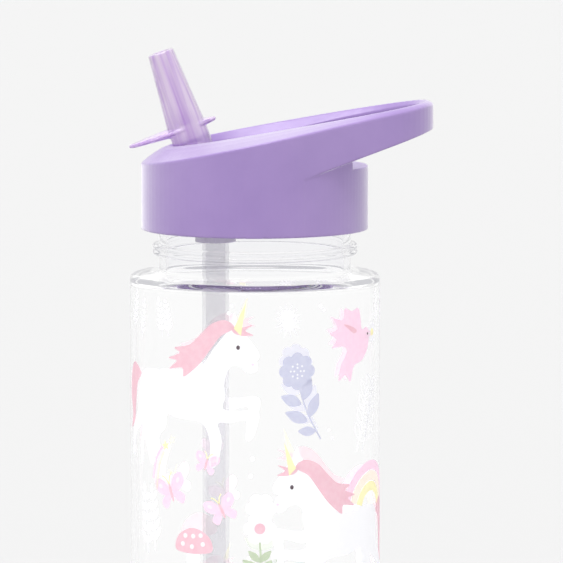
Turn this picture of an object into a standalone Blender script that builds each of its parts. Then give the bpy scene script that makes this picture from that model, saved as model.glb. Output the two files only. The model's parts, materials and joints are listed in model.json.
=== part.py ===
"""Kids' straw bottle: a clear bottle, a screw lid with a moulded-in carry handle, and a flip-up spout.

Metres, +Z up. The origin is on the bottle's axis at its foot, and +X points to the handle's end.
The lid stands screwed down and the spout stands open, leaning away from the handle.
"""

import math

import bmesh
import bpy
from mathutils import Matrix, Vector

MM = 0.001
GAP = 0.3 * MM  # between pieces that touch on the real bottle

# Bottle
BODY_RADIUS = 35.0 * MM
WALL = 1.8 * MM
SHOULDER_Z = 121.0 * MM
SHOULDER_RISE = 0.6 * MM
SHOULDER_CORNER = 1.5 * MM
FOOT_CORNER = 4.0 * MM
FOOT_INNER_RADIUS = 27.5 * MM
PUSH_UP = 0.8 * MM
FLOOR_Z = 3.0 * MM
NECK_RADIUS = 26.7 * MM
NECK_BORE = 24.8 * MM
NECK_FILLET = 1.2 * MM
RIM_Z = 147.5 * MM
RIM_ROUND = 0.5 * MM
BEAD_RADIUS = 28.6 * MM
BEAD_LOW_Z = 126.5 * MM
BEAD_HIGH_Z = 129.5 * MM
BEAD_ROUND = 0.8 * MM

# Screw thread, right-handed
THREAD_LEAD = 4.5 * MM
THREAD_TURNS = 1.25
BOTTLE_THREAD_Z = 139.4 * MM
BOTTLE_THREAD_CREST = 28.2 * MM
LID_THREAD_CREST = 27.2 * MM
THREAD_ROOT_WIDTH = 2.0 * MM
THREAD_CREST_WIDTH = 1.0 * MM
THREAD_SINK = 0.4 * MM  # how far a thread's root lies inside its wall
THREAD_STEPS = 28  # sections in each turn

# Lid, outside
LID_RADIUS = 31.6 * MM
LID_BOTTOM_Z = 133.5 * MM
LID_BORE = 28.7 * MM
CEILING_Z = 149.3 * MM
DECK_Z = 151.2 * MM
HANDLE_END_X = 49.6 * MM
HANDLE_END_RADIUS = 18.0 * MM
HANDLE_UNDERSIDE_Z = 144.66 * MM  # at x = 0
HANDLE_UNDERSIDE_SLOPE = 0.339
RIDGE_Z = 160.9 * MM  # the rim's highest line, at x = 0
RIDGE_SLOPE = 0.176
EDGE_DROP = 2.0 * MM  # from the ridge down to the outer wall's top, at x = 0
EDGE_DROP_SLOPE = -0.034
EDGE_DROP_CURVE = 0.0004 / MM

# Opening in the lid's top: the spout's recess and the finger loop in one
OPENING_CENTRE_X = 11.9 * MM
OPENING_HALF_LENGTH = 35.6 * MM
OPENING_HALF_WIDTH = 18.7 * MM
OPENING_POWER_LEFT = 2.4
OPENING_POWER_RIGHT = 2.5
BEVEL_WIDTH = 3.0 * MM
BEVEL_WIDTH_AT_SPOUT = 0.8 * MM
BEVEL_WIDTH_AT_END = 1.3 * MM

# Spout, about its pivot
PIVOT = Vector((-15.65 * MM, 0.0, 152.0 * MM))
SPOUT_LEAN = math.radians(19.0)
SPOUT_LENGTH = 32.4 * MM
SPOUT_TIP = (3.6 * MM, 5.8 * MM)  # half-widths along the lean and across it
SPOUT_ROOT = (5.3 * MM, 6.2 * MM)
SPOUT_ROOT_AT = 11.8 * MM
BORE_TIP = (2.1 * MM, 4.0 * MM)
BORE_ROOT = (2.4 * MM, 2.4 * MM)
BARREL_RADIUS = 5.8 * MM
BARREL_HALF_LENGTH = 6.4 * MM
TRUNNION_RADIUS = 2.2 * MM
TRUNNION_HALF_LENGTH = 8.1 * MM
TAB_AT = 10.2 * MM
TAB_THICKNESS = 1.3 * MM
TAB_FRONT = 16.9 * MM  # reach of the thumb tab, away from the handle
TAB_BACK = 8.6 * MM
TAB_HALF_WIDTH = 6.5 * MM
TAB_POWER = 2.3

# Trough under the spout
TROUGH_HALF_WIDTH = 6.9 * MM
TROUGH_WALL = 1.8 * MM
TROUGH_FLOOR_WALL = 1.5 * MM
TROUGH_FLOOR_Z = 144.4 * MM
TROUGH_FRONT_X = -21.85 * MM
TROUGH_RAMP_X = -2.5 * MM
TROUGH_BACK_X = 8.0 * MM
TROUGH_RAMP_TOP_Z = 149.0 * MM
TROUGH_TOP_Z = 155.0 * MM  # it clears the barrel's corners at the recess's narrow end
TROUGH_SKIRT_RADIUS = 24.2 * MM  # keeps the trough inside the neck's bore
EAR_RADIUS = 4.2 * MM

# Straw line
STRAW_X = -11.0 * MM
COLLAR_RADIUS = 6.4 * MM
COLLAR_BORE = 4.5 * MM
COLLAR_BOTTOM_Z = 135.5 * MM
SOCKET_RADIUS = 5.7 * MM
SOCKET_BOTTOM_Z = 129.6 * MM
SOCKET_TOP_Z = 139.7 * MM
SOCKET_PASSAGE = 2.6 * MM
STRAW_RADIUS = 3.75 * MM
STRAW_BORE = 2.75 * MM
STRAW_BOTTOM_Z = 5.5 * MM
STRAW_TOP_Z = 134.5 * MM
STRAW_CUT_SLOPE = 0.6  # of the slanted lower end
SEAL_FLANGE_RADIUS = 4.9 * MM
SEAL_FLANGE_TOP_Z = 145.7 * MM
SEAL_PORT_X = -12.5 * MM
SEAL_PORT_RADIUS = 2.1 * MM

# Vent valve
VENT_X = 16.5 * MM
VENT_HOLE_RADIUS = 1.6 * MM
VENT_STEM_RADIUS = 1.3 * MM
VENT_SKIRT_RADIUS = 4.5 * MM
VENT_KNOB_RADIUS = 2.3 * MM
VENT_KNOB_TOP_Z = 152.7 * MM

# Gasket
GASKET_INNER = 24.9 * MM
GASKET_OUTER = 28.3 * MM

ROUND_STEPS = 56  # sides of the large turned pieces
SMALL_STEPS = 24  # sides of the small ones

PURPLE = (0.36, 0.25, 0.54, 1.0)
VIOLET_CLEAR = (0.60, 0.40, 0.80, 1.0)
CLEAR = (0.95, 0.96, 0.97, 1.0)
SILICONE = (0.86, 0.86, 0.88, 1.0)


# ---------------------------------------------------------------- scene and materials


def new_collection(name):
    collection = bpy.data.collections.new(name)
    bpy.context.scene.collection.children.link(collection)
    return collection


def new_material(name, colour, roughness, transmission=0.0):
    material = bpy.data.materials.new(name)
    material.use_nodes = True
    shader = material.node_tree.nodes["Principled BSDF"]
    shader.inputs["Base Color"].default_value = colour
    shader.inputs["Roughness"].default_value = roughness
    shader.inputs["Metallic"].default_value = 0.0
    shader.inputs["Transmission Weight"].default_value = transmission
    return material


for old in list(bpy.data.objects):
    bpy.data.objects.remove(old)

PARTS = new_collection("kids_water_bottle")
TOOLS = new_collection("cutters")


# ---------------------------------------------------------------- shape tools


def add_object(name, bm, collection=None):
    """An object from a closed bmesh. Without a collection of its own it is a cutter."""
    bmesh.ops.recalc_face_normals(bm, faces=bm.faces)
    mesh = bpy.data.meshes.new(name)
    bm.to_mesh(mesh)
    bm.free()
    obj = bpy.data.objects.new(name, mesh)
    (collection or TOOLS).objects.link(obj)
    if collection is None:
        obj.hide_render = True
        obj.display_type = "WIRE"
    return obj


def loft(name, rings, looped=False, collection=None):
    """A solid skinned over rings of points. Its ends are capped, or joined to each other if looped."""
    bm = bmesh.new()
    loops = [[bm.verts.new(point) for point in ring] for ring in rings]
    pairs = list(zip(loops, loops[1:]))
    if looped:
        pairs.append((loops[-1], loops[0]))
    else:
        bm.faces.new(loops[0])
        bm.faces.new(loops[-1])
    for one, other in pairs:
        for i in range(len(one)):
            j = (i + 1) % len(one)
            bm.faces.new((one[i], one[j], other[j], other[i]))
    return add_object(name, bm, collection)


def slab(name, outline, half_width, collection=None):
    """An outline of (x, z) points, made solid to half_width on both sides of the y = 0 plane."""
    rings = [[(x, y, z) for x, z in outline] for y in (-half_width, half_width)]
    return loft(name, rings, collection=collection)


def cylinder(name, radius, start, end, steps=SMALL_STEPS, collection=None):
    start, end = Vector(start), Vector(end)
    along = end - start
    turn = Vector((0, 0, 1)).rotation_difference(along).to_matrix().to_4x4()
    bm = bmesh.new()
    bmesh.ops.create_cone(
        bm,
        cap_ends=True,
        segments=steps,
        radius1=radius,
        radius2=radius,
        depth=along.length,
        matrix=Matrix.Translation((start + end) / 2) @ turn,
    )
    return add_object(name, bm, collection)


def turned(name, profile, steps, collection=None, centre_x=0.0, ring=False):
    """A profile of (radius, z) points, which runs down its outer side, turned about a vertical axis."""
    count = len(profile)
    edges = [(i, i + 1) for i in range(count - 1)]
    if ring:
        edges.append((count - 1, 0))
    mesh = bpy.data.meshes.new(name)
    mesh.from_pydata([(radius, 0.0, z) for radius, z in profile], edges, [])
    obj = bpy.data.objects.new(name, mesh)
    (collection or TOOLS).objects.link(obj)
    obj.location.x = centre_x
    screw = obj.modifiers.new("Turn", "SCREW")
    screw.steps = screw.render_steps = steps
    screw.use_merge_vertices = True
    screw.merge_threshold = 0.00001
    if collection is None:
        obj.hide_render = True
        obj.display_type = "WIRE"
    return obj


def arc(centre, radius, start, end, steps=4):
    """Points of an arc between two angles in degrees, both ends included."""
    angles = [math.radians(start + (end - start) * i / steps) for i in range(steps + 1)]
    return [(centre[0] + radius * math.cos(a), centre[1] + radius * math.sin(a)) for a in angles]


def boolean(part, tool, operation):
    modifier = part.modifiers.new(tool.name, "BOOLEAN")
    modifier.operation = operation
    modifier.object = tool


def cut(part, *tools):
    for tool in tools:
        boolean(part, tool, "DIFFERENCE")


def join(part, *tools):
    for tool in tools:
        boolean(part, tool, "UNION")


def settle(part, material, smooth_angle=30.0):
    """Keeps the shape that the modifiers give, smooth-shaded, with its material."""
    graph = bpy.context.evaluated_depsgraph_get()
    mesh = bpy.data.meshes.new_from_object(part.evaluated_get(graph))
    part.modifiers.clear()
    part.data = mesh
    mesh.name = part.name
    mesh.materials.clear()
    mesh.materials.append(material)
    mesh.shade_smooth()
    mesh.set_sharp_from_angle(angle=math.radians(smooth_angle))


def helix(name, wall, crest, start_z):
    """A trapezium thread from inside a wall out to its crest, faded out at both ends."""
    inward = math.copysign(1.0, wall - crest)
    steps = round(THREAD_TURNS * THREAD_STEPS)
    fade = THREAD_STEPS / 8
    rings = []
    for i in range(steps + 1):
        angle = 2 * math.pi * i / THREAD_STEPS
        z = start_z + THREAD_LEAD * i / THREAD_STEPS
        height = min(1.0, 0.15 + min(i, steps - i) / fade)
        root = wall + inward * THREAD_SINK
        tip = wall + (crest - wall) * height
        root_half, tip_half = THREAD_ROOT_WIDTH / 2, THREAD_CREST_WIDTH / 2
        section = ((root, z - root_half), (tip, z - tip_half), (tip, z + tip_half), (root, z + root_half))
        rings.append([(r * math.cos(angle), r * math.sin(angle), h) for r, h in section])
    return loft(name, rings)


# ---------------------------------------------------------------- lid outlines


def lid_outline(arc_steps=20, line_steps=8):
    """The lid and handle from above: the hull of the lid's circle and the handle's end circle."""
    end_x = HANDLE_END_X - HANDLE_END_RADIUS
    leave = math.acos((LID_RADIUS - HANDLE_END_RADIUS) / end_x)
    points = []

    def sweep(centre_x, radius, start, end, steps):
        for i in range(steps + 1):
            angle = start + (end - start) * i / steps
            points.append((centre_x + radius * math.cos(angle), radius * math.sin(angle)))

    def straight(steps, start, end):
        for i in range(1, steps):
            t = i / steps
            points.append((start[0] + (end[0] - start[0]) * t, start[1] + (end[1] - start[1]) * t))

    def corner(centre_x, radius, angle):
        return (centre_x + radius * math.cos(angle), radius * math.sin(angle))

    sweep(end_x, HANDLE_END_RADIUS, -leave, leave, arc_steps)
    straight(line_steps, corner(end_x, HANDLE_END_RADIUS, leave), corner(0, LID_RADIUS, leave))
    sweep(0, LID_RADIUS, leave, 2 * math.pi - leave, 3 * arc_steps)
    straight(line_steps, corner(0, LID_RADIUS, -leave), corner(end_x, HANDLE_END_RADIUS, -leave))
    return points


def opening_reach(angle):
    """Distance from the opening's centre to the ridge around it."""
    power = OPENING_POWER_RIGHT if math.cos(angle) > 0 else OPENING_POWER_LEFT
    along = (abs(math.cos(angle)) / OPENING_HALF_LENGTH) ** power
    across = (abs(math.sin(angle)) / OPENING_HALF_WIDTH) ** power
    return (along + across) ** (-1 / power)


def ridge_z(x):
    return RIDGE_Z + RIDGE_SLOPE * x


def edge_z(x):
    """Top of the outer wall."""
    return ridge_z(x) - (EDGE_DROP + EDGE_DROP_SLOPE * x + EDGE_DROP_CURVE * x * x)


def bevel_width(x):
    """Width of the opening's inner bevel: narrow by the spout, wide in the middle, narrow at the end."""
    front = OPENING_CENTRE_X - OPENING_HALF_LENGTH
    back = OPENING_CENTRE_X + OPENING_HALF_LENGTH
    if x < 0:
        t = (x - front) / (0 - front)
        return BEVEL_WIDTH_AT_SPOUT + (BEVEL_WIDTH - BEVEL_WIDTH_AT_SPOUT) * max(0.0, t)
    t = x / back
    return BEVEL_WIDTH + (BEVEL_WIDTH_AT_END - BEVEL_WIDTH) * min(1.0, t)


def from_centre(angle, distance, z):
    return (OPENING_CENTRE_X + distance * math.cos(angle), distance * math.sin(angle), z)


def opening_ring(height, offset, flat_z=None):
    """A ring round the opening, offset outward from the ridge and lifted above it, or at flat_z."""
    ring = []
    for x, y in lid_outline():
        angle = math.atan2(y, x - OPENING_CENTRE_X)
        reach = opening_reach(angle)
        ridge_x = OPENING_CENTRE_X + reach * math.cos(angle)
        move, lift = offset * bevel_width(ridge_x), height * bevel_width(ridge_x)
        z = ridge_z(ridge_x) + lift if flat_z is None else flat_z
        ring.append(from_centre(angle, reach + move, z))
    return ring


# ---------------------------------------------------------------- cutters and added shapes of the lid

SKY_Z = 190 * MM  # above everything
OUTSIDE = 5 * MM  # how far a cutter passes a wall


def above_the_rim():
    """Everything over the lid's top: from the ridge it falls in a soft curve to the outer wall."""
    shares = (0.0, 0.3, 0.6, 0.85, 1.0)
    sections = []
    for x, y in lid_outline():
        angle = math.atan2(y, x - OPENING_CENTRE_X)
        reach = opening_reach(angle)
        outer = math.hypot(x - OPENING_CENTRE_X, y)
        inner = reach - 0.6 * bevel_width(x)
        ridge_x = OPENING_CENTRE_X + reach * math.cos(angle)
        section = [from_centre(angle, inner, SKY_Z), from_centre(angle, inner, ridge_z(ridge_x))]
        for share in shares:
            distance = reach + (outer - reach) * share
            px = OPENING_CENTRE_X + distance * math.cos(angle)
            drop = (ridge_z(x) - edge_z(x)) * share**1.6
            section.append(from_centre(angle, distance, ridge_z(px) - drop))
        section.append(from_centre(angle, outer + OUTSIDE, edge_z(x) - 2 * MM))
        section.append(from_centre(angle, outer + OUTSIDE, SKY_Z))
        sections.append(section)
    return loft("above_the_rim", sections, looped=True)


def opening_plug():
    """The recess for the spout and the finger loop, down to the deck."""
    rings = [
        opening_ring(0, -1.0, flat_z=DECK_Z),
        opening_ring(-1.0, -1.0),
        opening_ring(0.3, 0.3),
        opening_ring(0, 0.3, flat_z=SKY_Z),
    ]
    return loft("opening_plug", rings)


def under_the_handle():
    """Everything outside the lid's round wall and below the handle."""
    radius = LID_RADIUS - 0.1 * MM
    steps = 40
    reach = math.acos((LID_RADIUS - HANDLE_END_RADIUS) / (HANDLE_END_X - HANDLE_END_RADIUS))
    angles = [-reach + 2 * reach * i / steps for i in range(steps + 1)]
    outline = [(radius * math.cos(a), radius * math.sin(a)) for a in angles]
    far_x, far_y = HANDLE_END_X + OUTSIDE, LID_RADIUS + OUTSIDE
    near_x = outline[0][0]
    outline += [(near_x, far_y), (far_x, far_y), (far_x, -far_y), (near_x, -far_y)]
    low = [(x, y, LID_BOTTOM_Z - OUTSIDE) for x, y in outline]
    high = [(x, y, HANDLE_UNDERSIDE_Z + HANDLE_UNDERSIDE_SLOPE * x) for x, y in outline]
    return loft("under_the_handle", [low, high])


def trough_body():
    low_z = TROUGH_FLOOR_Z - TROUGH_FLOOR_WALL
    mid_deck = (CEILING_Z + DECK_Z) / 2
    outline = [
        (TROUGH_FRONT_X - TROUGH_FLOOR_WALL, mid_deck),
        (TROUGH_FRONT_X - TROUGH_FLOOR_WALL, low_z),
        (TROUGH_RAMP_X, low_z),
        (TROUGH_BACK_X + TROUGH_FLOOR_WALL, TROUGH_RAMP_TOP_Z - TROUGH_FLOOR_WALL),
        (TROUGH_BACK_X + TROUGH_FLOOR_WALL, mid_deck),
    ]
    body = slab("trough_body", outline, TROUGH_HALF_WIDTH + TROUGH_WALL)
    bore = cylinder("trough_limit", TROUGH_SKIRT_RADIUS, (0, 0, 0.13), (0, 0, 0.16), ROUND_STEPS)
    boolean(body, bore, "INTERSECT")
    return body


def trough_cavity():
    outline = [
        (TROUGH_FRONT_X, TROUGH_TOP_Z),
        (TROUGH_FRONT_X, TROUGH_FLOOR_Z),
        (TROUGH_RAMP_X, TROUGH_FLOOR_Z),
        (TROUGH_BACK_X, TROUGH_RAMP_TOP_Z),
        (TROUGH_BACK_X, TROUGH_TOP_Z),
    ]
    return slab("trough_cavity", outline, TROUGH_HALF_WIDTH)


def ear(name, side):
    """One of the two lugs that carry the spout's trunnions."""
    x, z = PIVOT.x, PIVOT.z
    foot_z = CEILING_Z + 0.5 * MM
    outline = [(x - EAR_RADIUS, foot_z), (x + EAR_RADIUS, foot_z)]
    outline += arc((x, z), EAR_RADIUS, 0, 180, 10)
    near, far = side * (TROUGH_HALF_WIDTH), side * (TROUGH_HALF_WIDTH + TROUGH_WALL)
    return loft(name, [[(px, y, pz) for px, pz in outline] for y in (near, far)])


# ---------------------------------------------------------------- parts


def make_bottle(material):
    inner = BODY_RADIUS - WALL
    shoulder_inner_z = SHOULDER_Z - WALL
    neck_foot_z = SHOULDER_Z + SHOULDER_RISE + NECK_FILLET
    profile = [(0, FLOOR_Z)]
    profile += arc((inner - FOOT_CORNER, FLOOR_Z + FOOT_CORNER), FOOT_CORNER, -90, 0, 5)
    profile += arc((inner - WALL, shoulder_inner_z - WALL), WALL, 0, 90, 4)
    profile += [(NECK_BORE + 2 * MM, shoulder_inner_z + SHOULDER_RISE)]
    profile += [(NECK_BORE + 0.6 * MM, shoulder_inner_z + 1.2 * MM), (NECK_BORE, neck_foot_z)]
    profile += arc((NECK_BORE + RIM_ROUND, RIM_Z - RIM_ROUND), RIM_ROUND, 180, 90, 2)
    profile += arc((NECK_RADIUS - RIM_ROUND, RIM_Z - RIM_ROUND), RIM_ROUND, 90, 0, 2)
    profile += [(NECK_RADIUS, BEAD_HIGH_Z + 0.2 * MM)]
    profile += arc((BEAD_RADIUS - BEAD_ROUND, BEAD_HIGH_Z - BEAD_ROUND), BEAD_ROUND, 90, 0, 3)
    profile += arc((BEAD_RADIUS - BEAD_ROUND, BEAD_LOW_Z + BEAD_ROUND), BEAD_ROUND, 0, -90, 3)
    profile += [(NECK_RADIUS, BEAD_LOW_Z - 0.2 * MM)]
    profile += arc((NECK_RADIUS + NECK_FILLET, neck_foot_z), NECK_FILLET, 180, 270, 4)
    corner = (BODY_RADIUS - SHOULDER_CORNER, SHOULDER_Z - SHOULDER_CORNER)
    profile += arc(corner, SHOULDER_CORNER, 90, 0, 4)
    profile += arc((BODY_RADIUS - FOOT_CORNER, FOOT_CORNER), FOOT_CORNER, 0, -90, 5)
    profile += [(FOOT_INNER_RADIUS, 0), (FOOT_INNER_RADIUS - 1.5 * MM, PUSH_UP), (0, PUSH_UP)]
    bottle = turned("bottle_body", profile, ROUND_STEPS, PARTS)
    join(bottle, helix("bottle_thread", NECK_RADIUS, BOTTLE_THREAD_CREST, BOTTLE_THREAD_Z))
    settle(bottle, material)


def make_lid(material):
    outline = lid_outline()
    rings = [[(x, y, z) for x, y in outline] for z in (LID_BOTTOM_Z, SKY_Z - 10 * MM)]
    lid = loft("lid_shell", rings, collection=PARTS)
    below = LID_BOTTOM_Z - OUTSIDE
    cut(lid, above_the_rim(), under_the_handle(), opening_plug())
    cut(lid, cylinder("lid_bore", LID_BORE, (0, 0, below), (0, 0, CEILING_Z), ROUND_STEPS))
    collar_top = (STRAW_X, 0, TROUGH_FLOOR_Z - TROUGH_FLOOR_WALL / 2)
    join(lid, trough_body())
    join(lid, cylinder("collar", COLLAR_RADIUS, (STRAW_X, 0, COLLAR_BOTTOM_Z), collar_top))
    join(lid, ear("ear_left", -1), ear("ear_right", 1))
    cut(lid, trough_cavity())
    reach = Vector((0, TROUGH_HALF_WIDTH + TROUGH_WALL + 1 * MM, 0))
    cut(lid, cylinder("trunnion_bore", TRUNNION_RADIUS + GAP, PIVOT - reach, PIVOT + reach))
    port_top = (STRAW_X, 0, TROUGH_FLOOR_Z + 1 * MM)
    cut(lid, cylinder("collar_bore", COLLAR_BORE, (STRAW_X, 0, below), port_top))
    vent = cylinder("vent_bore", VENT_HOLE_RADIUS, (VENT_X, 0, CEILING_Z - MM), (VENT_X, 0, DECK_Z + MM), 12)
    cut(lid, vent)
    start_z = BOTTLE_THREAD_Z - THREAD_LEAD / 2
    join(lid, helix("lid_thread", LID_BORE, LID_THREAD_CREST, start_z))
    settle(lid, material)


def oval(half_widths, z, steps=SMALL_STEPS):
    angles = [2 * math.pi * i / steps for i in range(steps)]
    return [(half_widths[0] * math.cos(a), half_widths[1] * math.sin(a), z) for a in angles]


def tab_outline(z, steps=32):
    """The thumb tab from above: one rounded oval, longer on the side away from the handle."""
    centre, half_length = (TAB_BACK - TAB_FRONT) / 2, (TAB_BACK + TAB_FRONT) / 2
    points = []
    for i in range(steps):
        angle = 2 * math.pi * i / steps
        c, s = math.cos(angle), math.sin(angle)
        x = math.copysign(abs(c) ** (2 / TAB_POWER), c) * half_length
        y = math.copysign(abs(s) ** (2 / TAB_POWER), s) * TAB_HALF_WIDTH
        points.append((centre + x, y, z))
    return points


def make_spout(material):
    """Made upright about its pivot at the origin, then leaned and put in place."""
    rings = [oval(SPOUT_ROOT, 0), oval(SPOUT_ROOT, SPOUT_ROOT_AT), oval(SPOUT_TIP, SPOUT_LENGTH)]
    spout = loft("spout", rings, collection=PARTS)
    low, high = TAB_AT - TAB_THICKNESS / 2, TAB_AT + TAB_THICKNESS / 2
    tab = loft("thumb_tab", [tab_outline(low), tab_outline(high)])
    across = Vector((0, 1, 0))
    barrel = cylinder("barrel", BARREL_RADIUS, -across * BARREL_HALF_LENGTH, across * BARREL_HALF_LENGTH, 32)
    trunnion_end = across * TRUNNION_HALF_LENGTH
    trunnions = cylinder("trunnions", TRUNNION_RADIUS, -trunnion_end, trunnion_end)
    join(spout, tab, barrel, trunnions)
    rings = [oval(BORE_ROOT, -BARREL_RADIUS - MM), oval(BORE_ROOT, SPOUT_ROOT_AT)]
    rings.append(oval(BORE_TIP, SPOUT_LENGTH + MM))
    cut(spout, loft("spout_bore", rings))
    settle(spout, material)
    spout.location = PIVOT
    spout.rotation_euler = (0, -SPOUT_LEAN, 0)


def make_spout_seal(material):
    """Silicone plug in the collar, with a saddle that the spout's barrel turns in."""
    radius = COLLAR_BORE - GAP
    flange_z = TROUGH_FLOOR_Z + GAP
    profile = [(0, SEAL_FLANGE_TOP_Z + MM), (SEAL_FLANGE_RADIUS, SEAL_FLANGE_TOP_Z)]
    profile += [(SEAL_FLANGE_RADIUS, flange_z), (radius, flange_z)]
    profile += [(radius, SOCKET_TOP_Z + GAP), (0, SOCKET_TOP_Z + GAP)]
    seal = turned("spout_seal", profile, SMALL_STEPS, PARTS, STRAW_X)
    reach = Vector((0, 2 * SEAL_FLANGE_RADIUS, 0))
    cut(seal, cylinder("saddle", BARREL_RADIUS + GAP, PIVOT - reach, PIVOT + reach, 48))
    port = (SEAL_PORT_X, 0, SOCKET_TOP_Z - MM), (SEAL_PORT_X, 0, PIVOT.z)
    cut(seal, cylinder("seal_port", SEAL_PORT_RADIUS, *port, 16))
    settle(seal, material)


def make_straw_socket(material):
    """Push-in sleeve under the collar: it holds the seal up and the straw in."""
    spigot = COLLAR_BORE - GAP
    shoulder_z = COLLAR_BOTTOM_Z - GAP
    stop_z = STRAW_TOP_Z + GAP
    profile = [(SOCKET_PASSAGE, SOCKET_TOP_Z), (spigot, SOCKET_TOP_Z), (spigot, shoulder_z)]
    profile += [(SOCKET_RADIUS, shoulder_z), (SOCKET_RADIUS, SOCKET_BOTTOM_Z)]
    profile += [(STRAW_RADIUS + GAP, SOCKET_BOTTOM_Z), (STRAW_RADIUS + GAP, stop_z), (SOCKET_PASSAGE, stop_z)]
    settle(turned("straw_socket", profile, SMALL_STEPS, PARTS, STRAW_X, ring=True), material)


def make_straw(material):
    """Clear tube with a slanted lower end."""
    profile = [(STRAW_BORE, STRAW_TOP_Z), (STRAW_RADIUS, STRAW_TOP_Z)]
    profile += [(STRAW_RADIUS, STRAW_BOTTOM_Z), (STRAW_BORE, STRAW_BOTTOM_Z)]
    straw = turned("straw", profile, SMALL_STEPS, PARTS, STRAW_X, ring=True)
    half = 2 * STRAW_RADIUS
    rise = STRAW_CUT_SLOPE * STRAW_RADIUS
    left, right = STRAW_X - half, STRAW_X + half
    low = STRAW_BOTTOM_Z - OUTSIDE
    wedge = [(left, low), (right, low), (right, STRAW_BOTTOM_Z + rise + half * STRAW_CUT_SLOPE)]
    wedge += [(left, STRAW_BOTTOM_Z + rise - half * STRAW_CUT_SLOPE)]
    cut(straw, slab("straw_wedge", wedge, half))
    settle(straw, material)


def make_vent_valve(material):
    """Silicone umbrella valve: a knob on the deck, a stem through it and a thin skirt below."""
    knob_z = DECK_Z + GAP
    skirt_z = CEILING_Z - GAP
    profile = [(0, VENT_KNOB_TOP_Z), (VENT_KNOB_RADIUS * 0.6, VENT_KNOB_TOP_Z)]
    profile += [(VENT_KNOB_RADIUS, knob_z), (VENT_STEM_RADIUS, knob_z), (VENT_STEM_RADIUS, skirt_z)]
    profile += [(VENT_SKIRT_RADIUS, skirt_z - 0.3 * MM), (VENT_SKIRT_RADIUS, skirt_z - 0.8 * MM)]
    profile += [(0, skirt_z - 1.1 * MM)]
    settle(turned("vent_valve", profile, SMALL_STEPS, PARTS, VENT_X), material)


def make_gasket(material):
    low, high = RIM_Z + GAP, CEILING_Z - GAP
    profile = [(GASKET_INNER, high), (GASKET_OUTER, high), (GASKET_OUTER, low), (GASKET_INNER, low)]
    settle(turned("lid_gasket", profile, ROUND_STEPS, PARTS, ring=True), material)


def main():
    purple = new_material("lid_plastic", PURPLE, 0.45)
    violet = new_material("spout_plastic", VIOLET_CLEAR, 0.2, transmission=0.6)
    clear = new_material("clear_plastic", CLEAR, 0.05, transmission=0.95)
    silicone = new_material("silicone", SILICONE, 0.6)
    make_bottle(clear)
    make_lid(purple)
    make_spout(violet)
    make_spout_seal(silicone)
    make_straw_socket(purple)
    make_straw(clear)
    make_vent_valve(silicone)
    make_gasket(silicone)


main()
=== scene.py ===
"""Looks of the kids' straw bottle: clear printed body, satin purple lid, translucent spout.

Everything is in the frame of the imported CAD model, which stays where it is. Blender gets metres;
lengths that are named as mm are turned into metres where the points are made.
"""

import json
import math

import bmesh
import bpy
from mathutils import Matrix, Vector
from mathutils.geometry import tessellate_polygon


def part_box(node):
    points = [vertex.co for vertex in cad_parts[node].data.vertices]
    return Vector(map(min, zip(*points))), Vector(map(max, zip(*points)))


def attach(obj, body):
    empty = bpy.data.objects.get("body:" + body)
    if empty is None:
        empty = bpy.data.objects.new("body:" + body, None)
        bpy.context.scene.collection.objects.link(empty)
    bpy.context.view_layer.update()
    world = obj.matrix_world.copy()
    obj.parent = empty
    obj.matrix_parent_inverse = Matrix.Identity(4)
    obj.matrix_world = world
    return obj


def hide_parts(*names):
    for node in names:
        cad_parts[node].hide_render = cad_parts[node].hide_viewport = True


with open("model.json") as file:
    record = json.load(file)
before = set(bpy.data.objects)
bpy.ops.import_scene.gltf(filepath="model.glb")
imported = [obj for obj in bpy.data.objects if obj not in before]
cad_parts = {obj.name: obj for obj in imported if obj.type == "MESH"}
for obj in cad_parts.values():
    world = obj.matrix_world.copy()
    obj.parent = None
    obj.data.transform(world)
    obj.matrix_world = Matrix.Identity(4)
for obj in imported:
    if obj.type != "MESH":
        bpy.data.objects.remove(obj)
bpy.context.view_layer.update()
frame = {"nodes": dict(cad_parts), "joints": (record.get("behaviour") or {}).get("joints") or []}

MM = 0.001
NODES = frame["nodes"]
BODY_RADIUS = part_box("bottle_body")[1].x
FLIP = next(joint for joint in frame["joints"] if joint["name"] == "spout_flip")
PIVOT = Vector(FLIP["pos_m"])

# Print
LAP = 2 * math.pi * BODY_RADIUS / MM  # its length round the bottle, in mm
BACK_DROP = 5.5  # the back half sits this much lower, in mm
STRIP = 1.5  # width of the flat strips that bend round the body, in mm
FILM = 0.03 * MM  # room for one layer of ink
FILM_COVER = 0.9  # share of that room which the ink fills
PRINT_ROOM = 0.1 * MM  # the wall stands back this far, so that the print keeps within the body's radius
UNDERBASE_WHITE = 0.95
UNDERBASE_TINT = 0.2  # how much of an ink's colour shows through its white base, from inside
UNDERBASE_PAINTED_GLOW = 0.38  # painted glow: emission that stands in for light reaching the base through the milky wall
INK_SHOW_THROUGH = 0.35  # share of the light that comes through a film
INK_FADE = 0.10  # how much paler an ink is where its cover is thin

# Clear wall: a low index keeps the bends soft, as a thin wall full of light shows them
CLEAR_IOR = 1.12
WALL_PAINTED_GLOW = 0.0135  # painted glow: faint emission that stands in for light scattered in the cloudy wall
SHOULDER_PAINTED_GLOW = 0.02  # the same painted glow, stronger in the thick shoulder, where light is piped along the wall
PIPE_DEPTH = 5.5  # bounces after which light counts as piped along inside the wall
# painted glow: emission that rays get after PIPE_DEPTH bounces, standing in for light piped along the wall
PAINTED_PIPE_GLOW = (0.52, 0.52, 0.55, 1.0)

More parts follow.
